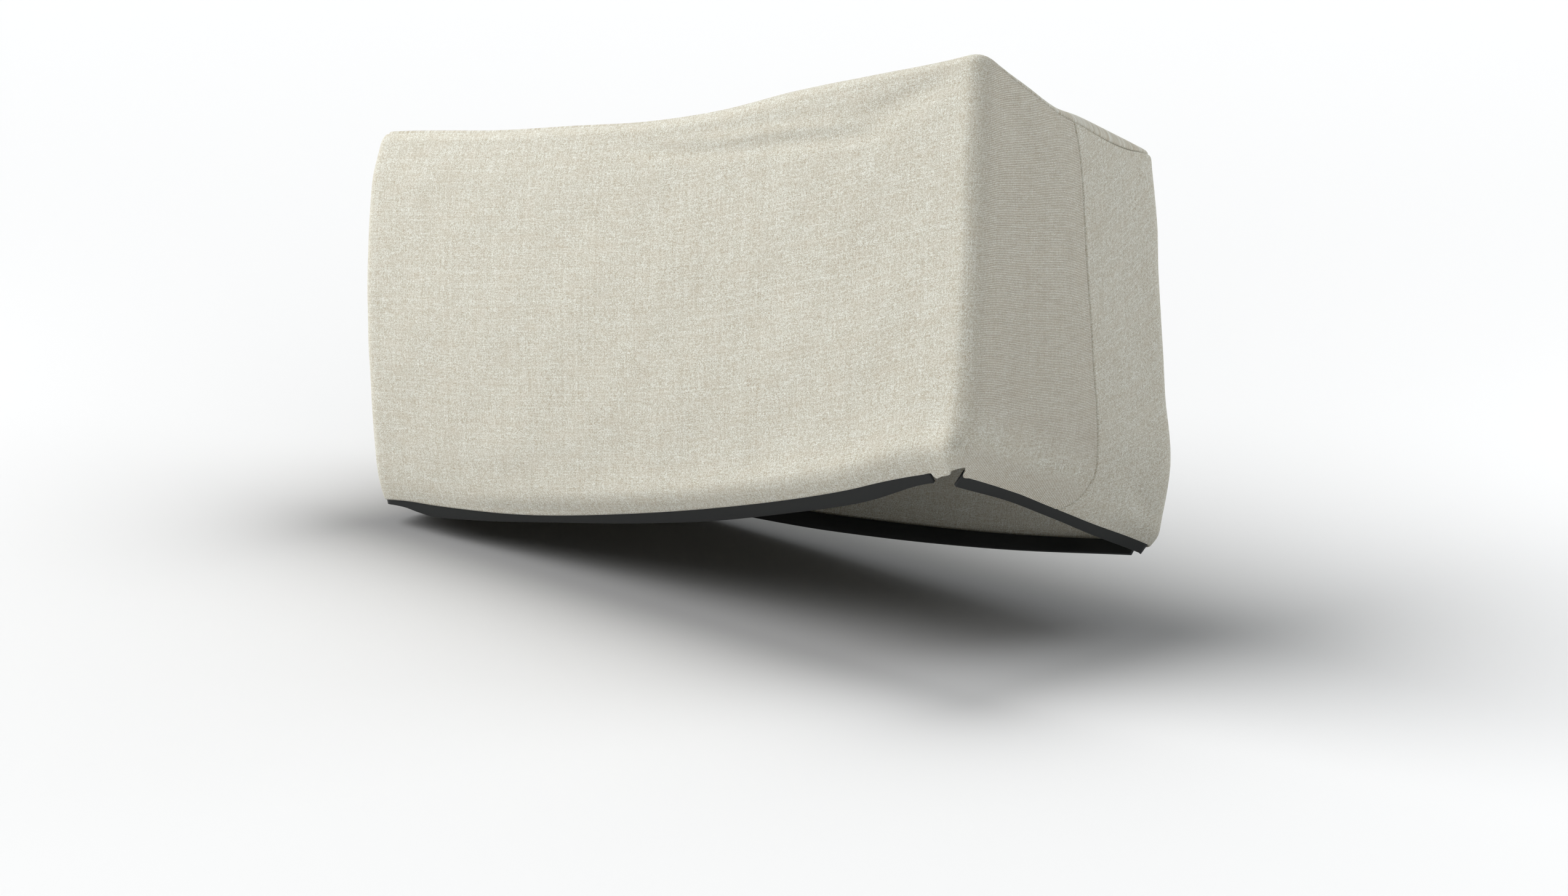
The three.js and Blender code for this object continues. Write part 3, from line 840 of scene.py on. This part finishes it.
# Painted highlight on the crowns of the rows, painted shade in the gaps between the yarns, and painted
# shade along some rows, all where the rib shading is set
PAINTED_CROWN_HIGHLIGHT = (0.93, 0.92, 0.84, 1)
PAINTED_GAP_SHADE = (0.31, 0.25, 0.175, 1)
PAINTED_ROW_SHADE = (0.34, 0.29, 0.22, 1)
# Shares of the three kinds of change in the lightness of a yarn
SLOW_SHARE, SPECK_SHARE, OWN_SHARE = 0.7, 0.8, 0.25
# Each span is a low and a high value and, unless they are 0 and 1, what these two become
SHADE_SPAN = (0.32, 1.38)
PATCH_SPAN = (0.42, 0.72, 0.0, 0.3)
SLUB_SPAN = (0.60, 0.72)
ROW_SHADE_SPAN = (0.45, 0.68, 0.0, 0.17)
CLOTH_ROUGH_SPAN = (0.3, 0.7, 0.96, 0.84)
SLUB_SHARE = 0.32
CROWN_HIGHLIGHT_SHARE = 0.24
GAP_SHADE_SHARE = 0.7
GAP_POWER = 3.0     # above 1, the gaps between the yarns are narrower than the yarns
# Scales of the noises, and how far they go from one yarn to the next and along a yarn
WOBBLE_SCALE = 55.0
PATCH_SCALE = (22.0, 55.0, 1.0)
TONE_STEP, TONE_PACE = 7.31, 0.05
ROW_SHADE_STEP, ROW_SHADE_PACE = 0.3, 0.045
UP_SEED, ACROSS_SEED, ROW_SHADE_SEED = 3.0, 11.0, 5.0
# Relief of the weave: shares of its parts, and the height in metres of the whole
WEAVE_RISE, TONE_RISE, GAP_FALL = 0.6, 0.8, 0.6
CLOTH_RELIEF, CLOTH_BUMP = 0.0005, 0.7


def yarn_places(n):
    """The threads' UV map, and the places across and up it in yarns that wander a little."""
    uv = n.add("ShaderNodeUVMap", {}, uv_map="threads").outputs[0]
    wobble = n.noise(uv, WOBBLE_SCALE, 2.0, "Color")
    bend = n.vector_math("SUBTRACT", {0: wobble, 1: (0.5, 0.5, 0.5)})
    bend = n.vector_math("SCALE", {0: bend, "Scale": WOBBLE})
    bent = n.vector_math("ADD", {0: uv, 1: bend})
    split = n.add("ShaderNodeSeparateXYZ", {0: bent}).outputs
    return uv, n.math("DIVIDE", split[0], YARN), n.math("DIVIDE", split[1], YARN)


def yarn_tone(n, index, along, seed):
    """Lightness of a yarn along its length: its own shade, and slow changes along it."""
    own = n.add("ShaderNodeTexWhiteNoise", {"W": n.plus(index, seed)}, noise_dimensions="1D")
    place = n.vector(n.times(index, TONE_STEP), n.times(along, TONE_PACE), seed)
    return own.outputs[0], n.noise(place, 1.0, 2.0)


def cloth_material():
    """Woven melange: light and sand-coloured yarns in a plain weave, with slubs both ways. The rows
    get painted shade in their gaps and a painted highlight on their crowns where the rib shading is
    set.
    """
    n = Nodes("melange_weave")
    uv, u, v = yarn_places(n)
    column, row = n.math("FLOOR", u), n.math("FLOOR", v)
    over = n.math("FLOORED_MODULO", n.plus(column, row), 2.0)
    own_up, slow_up = yarn_tone(n, column, v, UP_SEED)
    own_across, slow_across = yarn_tone(n, row, u, ACROSS_SEED)
    own = n.either(over, own_up, own_across)
    slow = n.either(over, slow_up, slow_across)
    cell = {"Vector": n.vector(column, row)}
    speck = n.add("ShaderNodeTexWhiteNoise", cell, noise_dimensions="3D").outputs[0]
    shade = n.plus(n.times(slow, SLOW_SHARE), n.times(speck, SPECK_SHARE))
    shade = n.plus(shade, n.times(own, OWN_SHARE))
    colour = n.ramp(n.between(shade, *SHADE_SPAN), YARN_TONES)

    patch_place = n.add("ShaderNodeMapping", {"Vector": uv, "Scale": PATCH_SCALE}).outputs[0]
    patch = n.noise(patch_place, 1.0, 3.0)
    colour = n.mix(n.between(patch, *PATCH_SPAN), colour, SANDY)
    slubs = n.math("MAXIMUM", n.between(slow_up, *SLUB_SPAN), n.between(slow_across, *SLUB_SPAN))
    colour = n.mix(n.times(slubs, SLUB_SHARE), colour, SLUB)

    # Rib shading mask: painted shade in the gaps and painted highlight on the crowns of the yarns; the
    # gaps also give the bump its relief
    painted_rib_mask = n.add("ShaderNodeAttribute", {}, attribute_name="rib_shade_and_highlight").outputs["Fac"]
    rows = n.math("MAXIMUM", painted_rib_mask, 0.0)
    columns = n.math("MAXIMUM", n.times(painted_rib_mask, -1.0), 0.0)
    row_gap = n.math("ABSOLUTE", n.math("COSINE", n.times(v, math.pi / 2)))
    column_gap = n.math("ABSOLUTE", n.math("COSINE", n.times(u, math.pi / 2)))
    gap_shade_and_relief = n.plus(n.times(rows, n.math("POWER", row_gap, GAP_POWER)),
                  n.times(columns, n.math("POWER", column_gap, GAP_POWER)))
    colour = n.mix(n.times(n.math("ABSOLUTE", painted_rib_mask), CROWN_HIGHLIGHT_SHARE), colour, PAINTED_CROWN_HIGHLIGHT)
    colour = n.mix(n.times(gap_shade_and_relief, GAP_SHADE_SHARE), colour, PAINTED_GAP_SHADE)
    # Painted shade along some of the rows, where the rows show
    row_shade_place = n.vector(n.times(u, ROW_SHADE_PACE), n.times(v, ROW_SHADE_STEP), ROW_SHADE_SEED)
    row_shade = n.between(n.noise(row_shade_place, 1.0, 1.0), *ROW_SHADE_SPAN)
    colour = n.mix(n.times(rows, row_shade), colour, PAINTED_ROW_SHADE)

    across_yarn = n.math("ABSOLUTE", n.math("SINE", n.times(u, math.pi)))
    up_yarn = n.math("ABSOLUTE", n.math("SINE", n.times(v, math.pi)))
    weave = n.times(n.math("SQRT", across_yarn), n.math("SQRT", up_yarn))
    height = n.plus(n.times(weave, WEAVE_RISE), n.times(slow, TONE_RISE))
    n.bump(n.minus(height, n.times(gap_shade_and_relief, GAP_FALL)), CLOTH_RELIEF, CLOTH_BUMP)
    n.shade(Base_Color=colour, Roughness=n.between(slow, *CLOTH_ROUGH_SPAN),
            Specular_IOR_Level=0.25, Sheen_Weight=0.12, Sheen_Roughness=0.5)
    return n.material


STRIP_DARK = (0.013, 0.0145, 0.0145, 1)
STRIP_LIGHT = (0.018, 0.0195, 0.019, 1)
STRIP_TONE_SPAN = (0.3, 0.7)
STRIP_ROUGH_SPAN = (0.3, 0.7, 0.42, 0.55)
STRIP_BROAD_SCALE, STRIP_FINE_SCALE = 14.0, 900.0
STRIP_RELIEF, STRIP_BUMP = 0.0001, 0.35


def strip_material():
    """Dark moulded plastic, a little uneven in its gloss."""
    n = Nodes("dark_moulding")
    place = n.add("ShaderNodeTexCoord", {}).outputs["Object"]
    broad = n.noise(place, STRIP_BROAD_SCALE, 3.0)
    n.bump(n.noise(place, STRIP_FINE_SCALE, 2.0), STRIP_RELIEF, STRIP_BUMP)
    n.shade(Base_Color=n.mix(n.between(broad, *STRIP_TONE_SPAN), STRIP_DARK, STRIP_LIGHT),
            Roughness=n.between(broad, *STRIP_ROUGH_SPAN), Specular_IOR_Level=0.35)
    return n.material


cloth = cloth_material()
moulding = strip_material()
for piece in (front_panel, back_panel, top_piece):
    piece.data.materials.append(cloth)
    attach(piece, "root")
for node, piece in strip_pieces.items():
    piece.data.materials.append(moulding)
    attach(piece, "root")
    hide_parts(node)
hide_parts("front_panel")
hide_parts("back_panel")
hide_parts("top_panel")

CAMERA_PLACE = np.array([4341.2, -4448.9, 1889.8])
CAMERA_AZIMUTH, CAMERA_ELEVATION = 43.8, 15.28
FOCAL_LENGTH = 7252.6 / 2548    # in widths of the picture
SENSOR_WIDTH = 36


def way_to(azimuth, elevation):
    """Way from the cover to a place round it: azimuth 0 is in front, and 90 at the right end."""
    a, e = math.radians(azimuth), math.radians(elevation)
    return Vector((math.sin(a) * math.cos(e), -math.cos(a) * math.cos(e), math.sin(e)))


def look_back(thing, way):
    """Turns a camera or a light against the way to it."""
    thing.rotation_mode = "QUATERNION"
    thing.rotation_quaternion = (-way).to_track_quat("-Z", "Y")


def place_camera():
    data = bpy.data.cameras.new("camera")
    data.sensor_width = SENSOR_WIDTH
    data.lens = SENSOR_WIDTH * FOCAL_LENGTH
    data.clip_end = 100
    camera = place_object("camera", data)
    camera.location = (CAMERA_PLACE - ORIGIN) / PER_METRE
    look_back(camera, way_to(CAMERA_AZIMUTH, CAMERA_ELEVATION))
    bpy.context.scene.camera = camera


place_camera()

FLOOR_SIZE = 40
FLOOR_PALE = (0.98, 0.98, 0.98, 1)
FLOOR_SHADOW_TONE = (0, 0, 0, 1)
# Metres over which the floor's painted shadow fades away from the cover, and the depth of the painted
# shadow
BROAD_SHADOW_REACH, BROAD_SHADOW_DEPTH = 2.2, 0.28
CLOSE_SHADOW_REACH, CLOSE_SHADOW_DEPTH = 0.11, 0.4
SHADOW_SOFT = 0.08   # metres over which the fading sets in
SHADOW_RIGHT_SPAN = (0.0, 0.9, 1.0, 0.85)  # metres to the right, and the share of the depth there


def floor_material():
    """Pale studio floor with a painted shadow that deepens softly round the foot of the cover, more to
    the left.
    """
    n = Nodes("pale_floor_with_painted_shadow")
    place = n.add("ShaderNodeTexCoord", {}).outputs["Object"]
    x, y = n.add("ShaderNodeSeparateXYZ", {0: place}).outputs[:2]
    beyond_x = n.math("MAXIMUM", n.minus(n.math("ABSOLUTE", x), HALF_X / PER_METRE), 0.0)
    beyond_y = n.math("MAXIMUM", n.minus(n.math("ABSOLUTE", y), HALF_Y / PER_METRE), 0.0)
    squares = n.plus(n.math("POWER", beyond_x, 2.0), n.math("POWER", beyond_y, 2.0))
    away = n.minus(n.math("SQRT", n.plus(squares, SHADOW_SOFT ** 2)), SHADOW_SOFT)
    broad = n.times(n.math("EXPONENT", n.math("DIVIDE", away, -BROAD_SHADOW_REACH)), BROAD_SHADOW_DEPTH)
    close = n.times(n.math("EXPONENT", n.math("DIVIDE", away, -CLOSE_SHADOW_REACH)), CLOSE_SHADOW_DEPTH)
    # Painted shadow round the foot of the cover, lighter to the right
    painted_shadow = n.times(n.plus(broad, close), n.between(x, *SHADOW_RIGHT_SPAN))
    n.shade(Base_Color=n.mix(painted_shadow, FLOOR_PALE, FLOOR_SHADOW_TONE), Roughness=0.9, Specular_IOR_Level=0.1)
    return n.material


def lay_floor():
    floor_z = -ORIGIN[2] / PER_METRE
    corners = ((-1, -1), (1, -1), (1, 1), (-1, 1))
    mesh = bpy.data.meshes.new("floor")
    points = [(x * FLOOR_SIZE, y * FLOOR_SIZE, floor_z) for x, y in corners]
    mesh.from_pydata(points, [], [(0, 1, 2, 3)])
    floor = place_object("floor", mesh)
    mesh.materials.append(floor_material())


lay_floor()


def add_sun(name, azimuth, elevation, strength, angle, colour):
    """A soft sun, whose angle is how wide it looks in degrees."""
    data = bpy.data.lights.new(name, "SUN")
    data.energy = strength
    data.angle = math.radians(angle)
    data.color = colour
    look_back(place_object(name, data), way_to(azimuth, elevation))


def add_softbox(name, azimuth, elevation, away, wide, power, colour, aim):
    """A square lamp at a distance from the point that it is aimed at, in metres and watts."""
    data = bpy.data.lights.new(name, "AREA")
    data.energy = power
    data.size = wide
    data.color = colour
    light = place_object(name, data)
    way = way_to(azimuth, elevation)
    light.location = Vector(aim) + way * away
    look_back(light, way)


WARM_WHITE = (1.0, 0.997, 0.995)
COOL_WHITE = (0.96, 0.985, 1.0)
SKY = (0.97, 0.99, 1.0, 1)
SKY_STRENGTH = 0.26

add_sun("key", azimuth=-46, elevation=42, strength=3.0, angle=52, colour=WARM_WHITE)
add_sun("fill", azimuth=130, elevation=60, strength=0.64, angle=40, colour=COOL_WHITE)
add_softbox("left_box", azimuth=-45, elevation=25, away=2.2, wide=1.2, power=12,
            colour=(1.0, 1.0, 1.0), aim=(-0.6, 0, 0))
add_softbox("rear_box", azimuth=140, elevation=30, away=2.0, wide=1.2, power=10.5,
            colour=COOL_WHITE, aim=(0.6, 0.2, 0))

world = bpy.data.worlds.new("studio")
world.use_nodes = True
sky = world.node_tree.nodes["Background"].inputs
sky["Color"].default_value = SKY
sky["Strength"].default_value = SKY_STRENGTH
bpy.context.scene.world = world
bpy.context.scene.view_settings.view_transform = "Standard"
